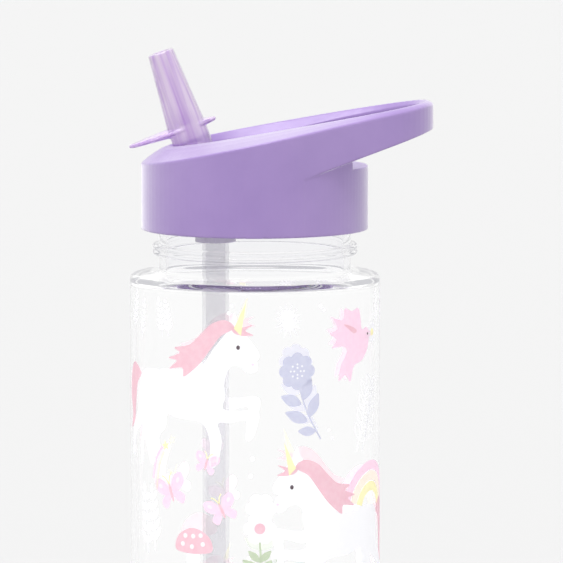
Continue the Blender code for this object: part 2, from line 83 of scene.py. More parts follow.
# Bottle, in mm
WALL = 1.7
FLOOR_TOP_Z = 3.0
FOOT_ROUND = 4.0
FOOT_RING = 27.6  # inner radius of the ring that the bottle stands on
PUSH_UP = 0.8
SHOULDER_Z = 121.0
SHOULDER_ROUND = 1.5
SHOULDER_SPAN = (4.0, 3.2)  # how far the thick shoulder's looks, with their stronger painted glow, reach below and above SHOULDER_Z
ROOF = 1.8  # thickness of the shoulder
ROOF_ROUND = 1.8
NECK_RADIUS = 26.7
NECK_BORE = 24.8
NECK_ROUNDS = (2.2, 1.2)  # at the neck's root, inside and outside
RIM_ROUND = 0.6
BEAD_Z = 128.0
BEAD_HALF_HEIGHT = 1.7
BEAD_RADIUS = 27.8  # of the middle of the two rounds that make the bead
BEAD_ROUND = 0.75
BEAD_FILLET = 0.3

# Screw thread round the neck, in mm
THREAD_Z = 139.4
THREAD_CREST = 28.2
THREAD_LEAD = 4.5
THREAD_TURNS = 1.25
THREAD_STEPS = 96  # sections in each turn
THREAD_END_HEIGHT = 0.15  # share of the full height where the thread starts and ends
THREAD_GAP = 0.01  # from the neck, so that the two surfaces don't coincide

# Moulded edges: size of the cells that round a piece, and rounds of smoothing
LID_CELL, LID_ROUNDS = 0.3 * MM, 5
SPOUT_CELL, SPOUT_ROUNDS = 0.2 * MM, 2

# Spout, in mm from its pivot along its own leaning axis
SPOUT_LEAN = math.radians(19.0)
TUBE_POWER = 2.8  # squareness of the tube's oval
TUBE_OUTSIDE = ((5.6, 6.3, 0.0, 0.3), (5.3, 6.2, 11.8, 0.0), (4.5, 6.0, 21.5, 0.0), (3.65, 5.8, 32.0, 0.0),
                (3.4, 5.5, 32.4, 0.0))  # half widths, height, shift
TUBE_INSIDE = ((2.2, 4.1, 32.4), (2.1, 4.0, 31.8), (2.3, 3.0, 14.0), (2.3, 2.4, 4.0))
TAB_HALF_WIDTHS = (12.75, 6.5)
TAB_POWER = 2.3
TAB_SHIFT = -4.15
TAB_Z = 10.2
TAB_EDGE = ((0.3, -1.4), (0.6, -1.05), (0.85, -0.7), (0.97, -0.5), (1.0, -0.2), (1.0, 0.2), (0.97, 0.5),
            (0.85, 0.65), (0.6, 0.95), (0.3, 1.2))  # share of the full outline, height above TAB_Z
BARREL = (5.8, 6.4)  # radius and half length
TRUNNIONS = (2.2, 8.1)
BARREL_STEPS = 64

# Straw, in mm
STRAW_WALL = 1.0
STRAW_SLOPE = 0.6  # of the slanting cut at its lower end
STRAW_STEPS = 72

# Light and camera
SKY = 0.8  # strength of the white surround
SUNS = (  # name, direction, power, spread in degrees
    ("overhead", (0.2, 0.30, -0.90), 3.05, 40),
    ("right", (-0.85, 0.35, -0.4), 0.45, 60),
    ("behind", (0.1, -0.75, -0.6), 0.35, 60),
)
FLOOR_HALF = 30.0  # metres, so that its edge is never in view
CAMERA_ELEVATION = math.radians(6.0)
CAMERA_DISTANCE = 1.2
CAMERA_TARGET = Vector((0.0074, 0.0, 0.1186))
CAMERA_LENS = 275  # mm
SENSOR_WIDTH = 36  # mm

# Colours, linear. DEEP is the darker end of a tone, SHADE the tint of light that has come through.
INK = {
    "white": (0.93, 0.93, 0.95),
    "rose": (0.87, 0.60, 0.67),
    "pink": (0.97, 0.74, 0.86),
    "blush": (0.97, 0.86, 0.90),
    "lilac": (0.65, 0.66, 0.79),
    "yellow": (0.97, 0.93, 0.60),
    "green": (0.60, 0.68, 0.52),
    "peach": (0.97, 0.89, 0.80),
    "dark": (0.14, 0.10, 0.12),
}
PURPLE = (0.312, 0.214, 0.468, 1.0)
PURPLE_DEEP = (0.278, 0.188, 0.434, 1.0)
SPOUT_VIOLET = (0.82, 0.75, 0.82, 1.0)
SPOUT_DEEP = (0.54, 0.37, 0.68, 1.0)
SPOUT_FADE = 0.016  # height above the pivot over which the spout turns from deep to pale, in m
SPOUT_SHADE = (0.80, 0.68, 0.90, 1.0)
BLACK = (0.0, 0.0, 0.0, 1.0)
NECK_CLEAR = (0.99, 0.99, 1.0, 1.0)
WALL_CLEAR = (1.0, 1.0, 1.0, 1.0)
NECK_SHADE = (0.985, 0.985, 0.99, 1.0)
WALL_SHADE = (0.995, 0.995, 0.995, 1.0)
SOCKET_LILAC = (0.62, 0.58, 0.70, 1.0)
SOCKET_DEEP = (0.56, 0.52, 0.65, 1.0)
SILICONE_PALE = (0.70, 0.70, 0.72, 1.0)
SILICONE_DEEP = (0.62, 0.62, 0.64, 1.0)
STRAW_GREY = (0.80, 0.79, 0.85, 1.0)
FLOOR = (0.495, 0.495, 0.495, 1.0)


# ---------------------------------------------------------------- materials


def material(name, **values):
    """A Principled material. Its plain values sit on the shader's own sockets."""
    mat = bpy.data.materials.new(name)
    mat.use_nodes = True
    shader = mat.node_tree.nodes["Principled BSDF"]
    for socket, value in values.items():
        shader.inputs[socket.replace("_", " ")].default_value = value
    return mat, mat.node_tree, shader


def noise(tree, scale, detail=3.0):
    """Noise in the object's own metres, from 0 to 1."""
    place = tree.nodes.new("ShaderNodeTexCoord")
    node = tree.nodes.new("ShaderNodeTexNoise")
    node.inputs["Scale"].default_value = scale
    node.inputs["Detail"].default_value = detail
    tree.links.new(place.outputs["Object"], node.inputs["Vector"])
    return node.outputs["Fac"]


def ramp(tree, source, low, high, positions=(0.3, 0.7)):
    """Maps a 0 to 1 value onto two colours or grey levels."""
    node = tree.nodes.new("ShaderNodeValToRGB")
    for element, position, value in zip(node.color_ramp.elements, positions, (low, high)):
        element.position = position
        element.color = value if isinstance(value, tuple) else (value, value, value, 1.0)
    tree.links.new(source, node.inputs["Fac"])
    return node.outputs["Color"]


def add_bump(tree, shader, height, strength, distance):
    """Fine relief in the shading; distance is in mm."""
    bump = tree.nodes.new("ShaderNodeBump")
    bump.inputs["Strength"].default_value = strength
    bump.inputs["Distance"].default_value = distance * MM
    tree.links.new(height, bump.inputs["Height"])
    tree.links.new(bump.outputs["Normal"], shader.inputs["Normal"])


def satin_plastic(name, colour, deep):
    """Injection-moulded plastic: fine spark-eroded grain, slight flow clouding and uneven gloss."""
    mat, tree, shader = material(name, IOR=1.49, Sheen_Weight=0.85, Sheen_Roughness=0.4)
    clouding = ramp(tree, noise(tree, scale=60, detail=4), deep, colour)
    tree.links.new(clouding, shader.inputs["Base Color"])
    gloss = ramp(tree, noise(tree, scale=900, detail=2), 0.29, 0.40)
    tree.links.new(gloss, shader.inputs["Roughness"])
    add_bump(tree, shader, noise(tree, scale=4200, detail=2), strength=0.22, distance=0.06)
    return mat


def lit_through(mat, tree, shader, colour):
    """Lets light pass a clear piece on its way to what is behind it, with no dark shadow.

    Rays that run on and on inside a wall end in a painted glow: an emission that stands in for the pale
    light of a cut edge.
    """
    path = tree.nodes.new("ShaderNodeLightPath")
    piped = tree.nodes.new("ShaderNodeMath")
    piped.operation = "GREATER_THAN"
    piped.inputs[1].default_value = PIPE_DEPTH
    tree.links.new(path.outputs["Ray Depth"], piped.inputs[0])
    # painted glow where a ray has run out of bounces
    glow = tree.nodes.new("ShaderNodeEmission")
    glow.inputs["Color"].default_value = PAINTED_PIPE_GLOW
    edge = tree.nodes.new("ShaderNodeMixShader")
    tree.links.new(piped.outputs["Value"], edge.inputs["Fac"])
    tree.links.new(shader.outputs["BSDF"], edge.inputs[1])
    tree.links.new(glow.outputs["Emission"], edge.inputs[2])
    either = tree.nodes.new("ShaderNodeMath")
    either.operation = "MAXIMUM"
    tree.links.new(path.outputs["Is Shadow Ray"], either.inputs[0])
    tree.links.new(path.outputs["Is Diffuse Ray"], either.inputs[1])
    clear = tree.nodes.new("ShaderNodeBsdfTransparent")
    clear.inputs["Color"].default_value = colour
    mix = tree.nodes.new("ShaderNodeMixShader")
    output = next(n for n in tree.nodes if n.type == "OUTPUT_MATERIAL")
    tree.links.new(either.outputs["Value"], mix.inputs["Fac"])
    tree.links.new(edge.outputs["Shader"], mix.inputs[1])
    tree.links.new(clear.outputs["BSDF"], mix.inputs[2])
    tree.links.new(mix.outputs["Shader"], output.inputs["Surface"])
    return mat


def clear_plastic(name, colour, shade, roughness=0.02, painted_glow=0.0):
    """Clear moulded plastic with faint waviness from the mould, and a painted glow, an emission that stands
    in for the light of a milky wall.
    """
    mat, tree, shader = material(name, Base_Color=colour, Transmission_Weight=1.0, IOR=CLEAR_IOR)
    # painted glow: emission strength given to a clear piece, which is no lamp
    shader.inputs["Emission Strength"].default_value = painted_glow
    wear = ramp(tree, noise(tree, scale=120, detail=2), roughness, roughness + 0.03)
    tree.links.new(wear, shader.inputs["Roughness"])
    add_bump(tree, shader, noise(tree, scale=45, detail=1), strength=0.03, distance=0.3)
    return lit_through(mat, tree, shader, shade)


def streaks(tree, scale, stretch, lean):
    """Noise drawn out into streaks along an axis that leans to -X."""
    place = tree.nodes.new("ShaderNodeTexCoord")
    turn = tree.nodes.new("ShaderNodeMapping")
    turn.vector_type = "TEXTURE"
    turn.inputs["Rotation"].default_value = (0, -lean, 0)
    turn.inputs["Scale"].default_value = (1, 1, stretch)
    node = tree.nodes.new("ShaderNodeTexNoise")
    node.inputs["Scale"].default_value = scale
    node.inputs["Detail"].default_value = 2.0
    tree.links.new(place.outputs["Object"], turn.inputs["Vector"])
    tree.links.new(turn.outputs["Vector"], node.inputs["Vector"])
    return node.outputs["Fac"]


def translucent_plastic(name, colour, deep):
    """Tinted, cloudy plastic that light glows through, streaked along the tube and deeper at its root."""
    mat, tree, shader = material(name, Transmission_Weight=0.6, IOR=1.42)
    shader.inputs["Coat Weight"].default_value = 0.4
    shader.inputs["Coat Roughness"].default_value = 0.06
    flow = streaks(tree, scale=700, stretch=40, lean=SPOUT_LEAN)
    streaked = ramp(tree, flow, deep, colour, (0.28, 0.58))
    place = tree.nodes.new("ShaderNodeTexCoord")
    split = tree.nodes.new("ShaderNodeSeparateXYZ")
    tree.links.new(place.outputs["Object"], split.inputs["Vector"])
    rise = tree.nodes.new("ShaderNodeMapRange")
    rise.inputs["From Min"].default_value = PIVOT.z
    rise.inputs["From Max"].default_value = PIVOT.z + SPOUT_FADE
    tree.links.new(split.outputs["Z"], rise.inputs["Value"])
    blend = tree.nodes.new("ShaderNodeMixRGB")
    blend.inputs["Color1"].default_value = deep
    tree.links.new(rise.outputs["Result"], blend.inputs["Fac"])
    tree.links.new(streaked, blend.inputs["Color2"])
    tree.links.new(blend.outputs["Color"], shader.inputs["Base Color"])
    gloss = ramp(tree, noise(tree, scale=300, detail=2), 0.14, 0.24)
    tree.links.new(gloss, shader.inputs["Roughness"])
    add_bump(tree, shader, flow, strength=0.35, distance=0.3)
    return lit_through(mat, tree, shader, SPOUT_SHADE)


def silicone(name):
    """Soft, matt rubber that lets a little light in."""
    mat, tree, shader = material(name, Subsurface_Weight=0.3, Subsurface_Scale=0.002, Sheen_Weight=0.1)
    clouded = ramp(tree, noise(tree, scale=200), SILICONE_DEEP, SILICONE_PALE)
    tree.links.new(clouded, shader.inputs["Base Color"])
    matt = ramp(tree, noise(tree, scale=1500), 0.5, 0.62)
    tree.links.new(matt, shader.inputs["Roughness"])
    add_bump(tree, shader, noise(tree, scale=3000, detail=2), strength=0.15, distance=0.05)
    return mat


def ink(name, colour, glow=0.0):
    """Screen-print ink: a matt film with slightly uneven cover, which some light comes through; glow adds a
    painted glow, an emission in the ink's full colour.
    """
    full = tuple(colour) + (1.0,)
    thin = tuple(c + (1.0 - c) * INK_FADE for c in colour) + (1.0,)
    # painted glow: the ink emits its own colour, though it is no lamp
    glow_colour = full if glow else BLACK
    mat, tree, shader = material(name, IOR=1.45, Emission_Color=glow_colour, Emission_Strength=glow)
    cover = ramp(tree, noise(tree, scale=700, detail=3), thin, full, (0.35, 0.6))
    tree.links.new(cover, shader.inputs["Base Color"])
    matt = ramp(tree, noise(tree, scale=1600, detail=2), 0.42, 0.55)
    tree.links.new(matt, shader.inputs["Roughness"])
    add_bump(tree, shader, noise(tree, scale=2500, detail=2), strength=0.12, distance=0.04)
    passed = tree.nodes.new("ShaderNodeBsdfTranslucent")
    tree.links.new(cover, passed.inputs["Color"])
    mix = tree.nodes.new("ShaderNodeMixShader")
    mix.inputs["Fac"].default_value = INK_SHOW_THROUGH
    output = next(n for n in tree.nodes if n.type == "OUTPUT_MATERIAL")
    tree.links.new(shader.outputs["BSDF"], mix.inputs[1])
    tree.links.new(passed.outputs["BSDF"], mix.inputs[2])
    tree.links.new(mix.outputs["Shader"], output.inputs["Surface"])
    return mat


def cloudy_tube(name, colour):
    """Thin soft tube: mostly see-through, with a greyish cast and a gloss."""
    mat, tree, shader = material(name, Alpha=0.22, IOR=1.4)
    deep = tuple(c * 0.94 for c in colour[:3]) + (1.0,)
    tone = ramp(tree, noise(tree, scale=90, detail=3), colour, deep)
    tree.links.new(tone, shader.inputs["Base Color"])
    gloss = ramp(tree, noise(tree, scale=400), 0.25, 0.35)
    tree.links.new(gloss, shader.inputs["Roughness"])
    return mat


def dress(node, mat):
    """Gives a CAD node its finish."""
    mesh = NODES[node].data
    mesh.materials.clear()
    mesh.materials.append(mat)


# ---------------------------------------------------------------- print: drawing in the flat, in mm


def between(p0, p1, p2, p3, t):
    """The point at t, from 0 to 1, on a Catmull-Rom curve from p1 to p2."""
    a = 2 * p1 + (p2 - p0) * t
    b = (2 * p0 - 5 * p1 + 4 * p2 - p3) * t * t
    c = (3 * p1 - p0 - 3 * p2 + p3) * t**3
    return (a + b + c) / 2


def smooth(points, steps=4):
    """A closed curve through points."""
    count = len(points)
    curve = []
    for i in range(count):
        near = [Vector(points[(i + k) % count]) for k in (-1, 0, 1, 2)]
        curve += [tuple(between(*near, s / steps)) for s in range(steps)]
    return curve


def ellipse(x, y, a, b, tilt=0.0, steps=20):
    """An ellipse about (x, y) with half widths a and b."""
    c, s = math.cos(tilt), math.sin(tilt)
    points = []
    for i in range(steps):
        t = 2 * math.pi * i / steps
        u, v = a * math.cos(t), b * math.sin(t)
        points.append((x + u * c - v * s, y + u * s + v * c))
    return points


def leaf(x, y, length, width, angle):
    """A pointed leaf that grows from (x, y)."""
    side = [(0.25, 0.4), (0.55, 0.5), (0.85, 0.24)]
    sides = [(0, 0)] + side + [(1, 0)] + [(t, -w) for t, w in reversed(side)]
    c, s = math.cos(angle), math.sin(angle)
    place = [(t * length, w * width) for t, w in sides]
    return smooth([(x + u * c - v * s, y + u * s + v * c) for u, v in place], 3)


def stroke(points, width, steps=5):
    """A band of even width along an open curve through points."""
    ends = [points[0]] + list(points) + [points[-1]]
    middle = []
    for i in range(len(points) - 1):
        near = [Vector(end) for end in ends[i:i + 4]]
        middle += [between(*near, s / steps) for s in range(steps)]
    middle.append(Vector(points[-1]))
    left, right = [], []
    for i, p in enumerate(middle):
        along = middle[min(i + 1, len(middle) - 1)] - middle[max(i - 1, 0)]
        side = Vector((-along.y, along.x)).normalized() * width / 2
        left.append(tuple(p + side))
        right.append(tuple(p - side))
    return left + right[::-1]


def arc_band(radius, width, start, end, steps=14):
    """A band of even width along a circle, between two angles in degrees."""
    angles = [math.radians(start + (end - start) * i / steps) for i in range(steps + 1)]
    edges = []
    for reach in (radius + width / 2, radius - width / 2):
        edges.append([(reach * math.cos(a), reach * math.sin(a)) for a in angles])
    return edges[0] + edges[1][::-1]


def rays(count, long, short):
    """A star burst with alternate long and short points."""
    points = []
    for i in range(2 * count):
        angle = math.pi * i / count
        radius = long if i % 2 == 0 else short
        points.append((radius * math.cos(angle), radius * math.sin(angle)))
    return points


# Each motif is a list of (colour, layer, outline) about its own middle.


def pony():
    body = [
        (13.6, 17.6), (14.6, 20.6), (16.0, 17.6), (18.8, 13.2), (21.6, 9.4), (21.8, 7.0), (19.6, 6.2),
        (16.8, 8.2), (14.2, 7.6), (12.8, 3.6), (13.0, -0.4), (12.4, -3.6), (16.0, -4.2), (20.8, -3.8),
        (22.4, -5.6), (20.6, -11.6), (18.6, -12.0), (18.8, -7.0), (14.2, -7.6), (11.0, -7.8),
        (12.0, -12.6), (10.6, -19.2), (8.4, -19.4), (8.6, -12.8), (6.0, -7.8), (-1.6, -7.0), (-7.4, -6.0),
        (-8.6, -10.8), (-11.8, -13.8), (-10.2, -20.0), (-12.6, -20.4), (-15.2, -13.8), (-13.4, -8.6),
        (-17.2, -10.6), (-21.4, -13.2), (-22.4, -19.0), (-24.6, -18.8), (-24.0, -11.8), (-19.6, -5.4),
        (-18.8, 1.0), (-15.8, 5.2), (-8.0, 5.8), (0.0, 4.8), (5.8, 7.4), (9.6, 12.6)]
    mane = [
        (15.6, 18.6), (13.0, 20.6), (9.0, 19.4), (5.4, 16.0), (2.2, 13.4), (-2.6, 12.4), (-0.8, 11.0),
        (-4.8, 9.4), (-1.8, 8.8), (-4.6, 6.4), (0.0, 7.0), (0.6, 4.6), (5.2, 8.0), (8.8, 12.4), (11.8, 16.2)]
    forelock = [
        (14.8, 18.8), (17.2, 18.6), (20.6, 19.4), (18.6, 17.8), (20.8, 16.6), (17.8, 16.4), (15.4, 17.2)]
    tail = [
        (-17.8, 4.0), (-22.4, 6.6), (-25.8, 3.6), (-26.6, -3.0), (-24.8, -8.0), (-26.2, -12.2),
        (-22.6, -9.4), (-21.6, -3.6), (-20.4, 1.0)]
    horn = [(15.4, 18.4), (18.8, 25.6), (17.4, 16.4)]
    return [("white", 0, smooth(body)), ("rose", 1, smooth(mane)), ("rose", 1, smooth(tail)),
            ("rose", 1, smooth(forelock)), ("yellow", 2, horn), ("dark", 1, ellipse(16.6, 13.2, 0.5, 0.6)),
            ("pink", 1, ellipse(20.6, 8.6, 0.35, 0.3))]


def butterfly():
    shapes = []
    for side in (-1, 1):
        upper = [(0.3, 0.2), (2.0, 3.9), (5.2, 4.6), (5.6, 1.8), (3.0, -0.4)]
        lower = [(0.3, -0.4), (3.0, -0.6), (4.6, -2.4), (3.2, -4.4), (1.2, -2.8)]
        shapes += [("pink", 0, smooth([(side * x, y) for x, y in wing])) for wing in (upper, lower)]
        shapes.append(("yellow", 1, stroke([(0, 2.2), (side * 0.9, 4.2), (side * 2.0, 5.2)], 0.4)))
        shapes.append(("blush", 1, ellipse(side * 3.6, 2.5, 0.6, 0.9, side * -0.7)))
    return shapes + [("rose", 1, ellipse(0, -0.2, 0.5, 2.9))]


def petals(count, reach, size, colour, layer=0):
    """A ring of round petals of radius size, as one scalloped shape."""
    outline = []
    steps = 6 * count
    sector = 2 * math.pi / count
    for i in range(steps):
        angle = 2 * math.pi * i / steps
        off = (angle + sector / 2) % sector - sector / 2
        aside = reach * math.sin(off)
        radius = reach * math.cos(off) + math.sqrt(max(0.0, size**2 - aside**2))
        outline.append((radius * math.cos(angle), radius * math.sin(angle)))
    return [(colour, layer, outline)]


def flower_lilac():
    shapes = petals(8, 3.6, 1.9, "lilac")
    turns = [2 * math.pi * i / 8 for i in range(8)]
    for ring, angles in ((2.0, turns), (1.0, turns[::2])):
        shapes += [("white", 1, ellipse(ring * math.cos(a), ring * math.sin(a), 0.3, 0.3)) for a in angles]
    shapes.append(("lilac", 1, stroke([(0.8, -5.2), (3.0, -12), (7.4, -20)], 0.5)))
    for x, y, length in ((1.6, -8.4, 6.6), (3.6, -13.4, 7.4)):
        shapes.append(("lilac", 0, leaf(x, y, length, 3.4, 1.15)))
        shapes.append(("lilac", 0, leaf(x - 0.4, y - 1.2, length, 3.4, 2.75)))
    return shapes + [("lilac", 0, leaf(5.8, -17.6, 5.6, 2.8, 3.1))]


def flower_white():
    shapes = petals(6, 2.7, 1.9, "white", 1) + [("rose", 2, ellipse(0, 0, 1.5, 1.5))]
    shapes.append(("green", 0, stroke([(0, -3.8), (0.2, -8), (-0.2, -14)], 0.6)))
    for side in (-1, 1):
        shapes.append(("green", 0, leaf(0, -12.0, 5.8, 2.6, math.pi / 2 - side * 0.95)))
        shapes.append(("green", 0, leaf(0, -9.2, 4.4, 2.0, math.pi / 2 - side * 0.8)))
    return shapes


def daisy():
    return petals(7, 1.9, 1.1, "white") + [("yellow", 1, ellipse(0, 0, 1.0, 1.0))]


def mushroom():
    cap = [(-5.6, 0.2), (-4.4, 3.8), (0, 5.8), (4.4, 3.8), (5.6, 0.2), (2.8, -0.9), (-2.8, -0.9)]
    stem = [(-1.6, -0.4), (1.6, -0.4), (1.9, -4.6), (0, -5.4), (-1.9, -4.6)]
    dots = ((-3.2, 1.4), (0, 3.6), (2.8, 1.6), (-0.4, 0.8), (2.2, 3.9), (-2.4, 3.6))
    shapes = [("white", 0, smooth(stem)), ("rose", 1, smooth(cap))]
    return shapes + [("white", 2, ellipse(x, y, 0.62, 0.62)) for x, y in dots]


def bird():
    body = [
        (7.6, 2.6), (9.2, 1.6), (7.4, 0.8), (6.4, -2.2), (3.2, -5.2), (-0.6, -6.4), (-2.2, -10.6),
        (-4.2, -8.6), (-6.8, -10.0), (-6.0, -6.0), (-3.6, -2.0), (-5.4, -0.6), (-9.2, -0.8), (-7.6, 1.4),
        (-10.0, 3.2), (-7.2, 4.4), (-8.6, 7.2), (-5.2, 6.8), (-4.4, 9.8), (-1.6, 8.8), (1.4, 9.4),
        (2.6, 6.2), (3.2, 3.4), (5.6, 3.8)]
    return [("pink", 0, smooth(body)), ("dark", 1, ellipse(6.4, 1.9, 0.35, 0.35)),
            ("rose", 1, smooth([(-0.6, 2.6), (-3.2, 4.2), (-4.8, 5.4), (-2.2, 4.8), (0.6, 3.4)])),
            ("peach", 1, [(8.4, 1.9), (10.6, 1.4), (8.4, 1.0)])]


def sprig():
    """Pairs of leaves that shorten up a thin stem."""
    shapes = [("white", 0, stroke([(0, -9), (0.6, -2), (0, 8)], 0.5))]
    for i in range(5):
        y = -6.0 + 3.0 * i
        size = 4.6 - 0.45 * i
        shapes.append(("white", 0, leaf(0.4, y, size, 1.8, 0.75)))
        shapes.append(("white", 0, leaf(0.4, y, size, 1.8, math.pi - 0.75)))
    return shapes + [("white", 0, leaf(0, 7.6, 3.2, 1.7, math.pi / 2))]


def outline_sprig():
    """Leaves drawn as outlines on a thin stem."""
    shapes = [("white", 0, stroke([(-1, -11), (0, -3), (1.5, 10)], 0.45))]
    for i in range(4):
        y = -7.0 + 4.4 * i
        for angle in (0.8, math.pi - 0.8):
            edge = leaf(0.1 + 0.1 * i, y, 5.4, 2.6, angle)
            shapes.append(("white", 0, stroke(edge + [edge[0]], 0.35, 1)))
    return shapes


def rainbow():
    bands = zip((12.0, 9.2, 6.4), ("pink", "peach", "yellow"))
    return [(colour, 0, arc_band(radius, 2.5, 10, 170)) for radius, colour in bands]


def shooting_star():
    """A small star with a curved trail."""
    shapes = [("yellow", 1, rays(5, 1.7, 0.75))]
    for offset, colour in ((0.0, "blush"), (1.3, "pink"), (-1.3, "peach")):
        trail = [(-1.5, offset * 0.6 - 0.4), (-6.0, -3.0 + offset), (-10.5, -8.0 + offset * 1.4)]
        shapes.append((colour, 0, stroke(trail, 0.9)))
    return shapes


def burst():
    return [("white", 0, smooth(rays(12, 4.0, 1.7), 3))]


def dot():
    return [("white", 0, ellipse(0, 0, 0.7, 0.7))]


# (motif, place round the bottle in mm from the front, height in mm, scale, mirrored, tilt in degrees)
PATTERN = (
    (pony, -21.0, 91.0, 1.0, False, 0),
    (pony, 27.0, 52.5, 1.0, True, 0),
    (rainbow, 40.5, 56.5, 1.05, False, -8),
    (burst, 9.5, 110.5, 1.0, False, 10),
    (bird, 32.0, 104.0, 1.0, False, 0),
    (daisy, 41.5, 106.0, 1.0, False, 0),
    (flower_lilac, 12.0, 97.5, 0.95, False, 0),
    (outline_sprig, 39.0, 84.0, 1.0, False, -14),
    (butterfly, -25.0, 63.5, 0.95, False, 20),
    (butterfly, -13.5, 72.0, 0.62, False, -15),
    (butterfly, -9.0, 59.5, 0.8, True, 24),
    (mushroom, -17.5, 48.0, 1.05, False, 0),
    (flower_white, 1.5, 54.5, 1.0, False, 0),
    (shooting_star, -27.0, 76.0, 0.9, False, 30),
    (sprig, -29.0, 111.0, 0.55, False, 8),
    (sprig, -43.0, 112.0, 0.6, False, -14),
    (sprig, -36.0, 54.0, 1.0, False, 6),
    (sprig, 52.0, 112.0, 0.6, True, 10),
    (dot, -1.0, 69.0, 1.0, False, 0),
    (dot, -7.0, 113.5, 0.8, False, 0),
    (dot, 20.0, 114.0, 0.9, False, 0),
    (dot, 23.0, 78.5, 0.8, False, 0),
    (dot, -32.0, 72.5, 0.9, False, 0),
    (pony, -21.0, 26.5, 0.72, False, 0),
    (flower_lilac, 26.0, 27.0, 0.7, True, 0),
    (butterfly, 8.0, 31.0, 0.8, False, -18),
    (mushroom, 38.0, 15.5, 0.9, False, 0),
    (burst, 46.0, 29.0, 0.9, False, 0),
    (daisy, 7.0, 16.0, 1.1, False, 0),
    (sprig, -46.0, 22.0, 0.9, False, -8),
    (sprig, 14.0, 18.0, 0.6, False, 12),
    (dot, -2.0, 40.0, 0.9, False, 0),
)


def placed(outline, at, height, scale, mirrored, tilt):
    """An outline at its place in the flat print, in mm."""
    c, s = math.cos(math.radians(tilt)) * scale, math.sin(math.radians(tilt)) * scale
    flip = -1 if mirrored else 1
    return [(at + flip * x * c - y * s, height + flip * x * s + y * c) for x, y in outline]


def add_film(bm, outline, layer):
    """One inked shape: filled, cut into narrow strips and bent round the body."""
    flat = bmesh.new()
    verts = [flat.verts.new((x, 0, z)) for x, z in outline]
    for tri in tessellate_polygon([[Vector((x, z, 0)) for x, z in outline]]):
        flat.faces.new([verts[i] for i in tri])
    low = min(x for x, _ in outline)
    high = max(x for x, _ in outline)
    cut = math.ceil(low / STRIP) * STRIP
    while cut < high:
        geometry = flat.verts[:] + flat.edges[:] + flat.faces[:]
        bmesh.ops.bisect_plane(flat, geom=geometry, dist=1e-5, plane_co=(cut, 0, 0), plane_no=(1, 0, 0))
        cut += STRIP
    bmesh.ops.recalc_face_normals(flat, faces=flat.faces)
    radius = BODY_RADIUS - PRINT_ROOM + FILM * (layer + 1)
    places = {}
    for vert in flat.verts:
        angle = vert.co.x * MM / BODY_RADIUS
        place = (radius * math.sin(angle), -radius * math.cos(angle), vert.co.z * MM)
        places[vert] = bm.verts.new(place)
    for face in flat.faces:
        new = bm.faces.new([places[v] for v in face.verts])
        new.normal_update()
        middle = new.calc_center_median()
        if new.normal.dot(Vector((middle.x, middle.y, 0))) < 0:
            new.normal_flip()
    flat.free()


def make_print():
    """The pattern on the front and its mirror image on the back, one piece for each ink."""
    inks = {name: bmesh.new() for name in INK}
    for motif, at, height, scale, mirrored, tilt in PATTERN:
        for colour, layer, outline in motif():
            front = placed(outline, at, height, scale, mirrored, tilt)
            back = placed(outline, LAP / 2 - at, height - BACK_DROP, scale, not mirrored, -tilt)
            add_film(inks[colour], front, layer)
            add_film(inks[colour], back, layer)
    for name, bm in inks.items():
        mesh = bpy.data.meshes.new("print_" + name)
        bm.to_mesh(mesh)
        bm.free()
        obj = bpy.data.objects.new("print_" + name, mesh)
        bpy.context.scene.collection.objects.link(obj)
        mesh.materials.append(ink("ink_" + name, INK[name]))
        base = tuple(c * UNDERBASE_TINT + UNDERBASE_WHITE * (1 - UNDERBASE_TINT) for c in INK[name])
        # the base's inner side gets a painted glow, emission that stands in for light through the milky wall
        mesh.materials.append(ink("underbase_" + name, base, UNDERBASE_PAINTED_GLOW))
        film = obj.modifiers.new("film", "SOLIDIFY")
        film.material_offset = 1
        film.thickness = FILM * FILM_COVER
        film.offset = -1
        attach(obj, "bottle")


# ---------------------------------------------------------------- finer shapes for CAD nodes


def add_piece(name, mesh, body, slot, mat, *nodes):
    """A visible piece that rides on a body and stands for CAD nodes."""
    obj = bpy.data.objects.new(name, mesh)
    bpy.context.scene.collection.objects.link(obj)
    mesh.materials.clear()
    mesh.materials.append(mat)
    mesh.shade_smooth()
    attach(obj, body)
    if nodes:
        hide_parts(*nodes)
    return obj


def mesh_from(bm, name):
    """A mesh with its faces pointing out."""
    bmesh.ops.recalc_face_normals(bm, faces=bm.faces)
    mesh = bpy.data.meshes.new(name)
    bm.to_mesh(mesh)
    bm.free()
    return mesh


def arc(x, z, radius, start, end, steps=6):
    """Points along a circle about (x, z), between two angles in degrees."""
    angles = [math.radians(start + (end - start) * i / steps) for i in range(steps + 1)]
    return [(x + radius * math.cos(a), z + radius * math.sin(a)) for a in angles]


def turned_mesh(name, profile, centre_x=0.0, steps=160, closed=False):
    """Profile points (radius, z) in mm, turned about a vertical axis at centre_x, which is in metres."""
    bm = bmesh.new()
    rings = []
    for radius, z in profile:
        if radius == 0:
            rings.append([bm.verts.new((centre_x, 0, z * MM))])
            continue
        ring = []
        for i in range(steps):
            angle = 2 * math.pi * i / steps
            x, y = radius * MM * math.cos(angle), radius * MM * math.sin(angle)
            ring.append(bm.verts.new((centre_x + x, y, z * MM)))
        rings.append(ring)
    pairs = list(zip(rings, rings[1:]))
    if closed:
        pairs.append((rings[-1], rings[0]))
    for one, other in pairs:
        for i in range(steps):
            j = (i + 1) % steps
            corners = [one[i % len(one)], one[j % len(one)], other[j % len(other)], other[i % len(other)]]
            kept = [v for k, v in enumerate(corners) if v not in corners[:k]]
            bm.faces.new(kept)
    return mesh_from(bm, name)


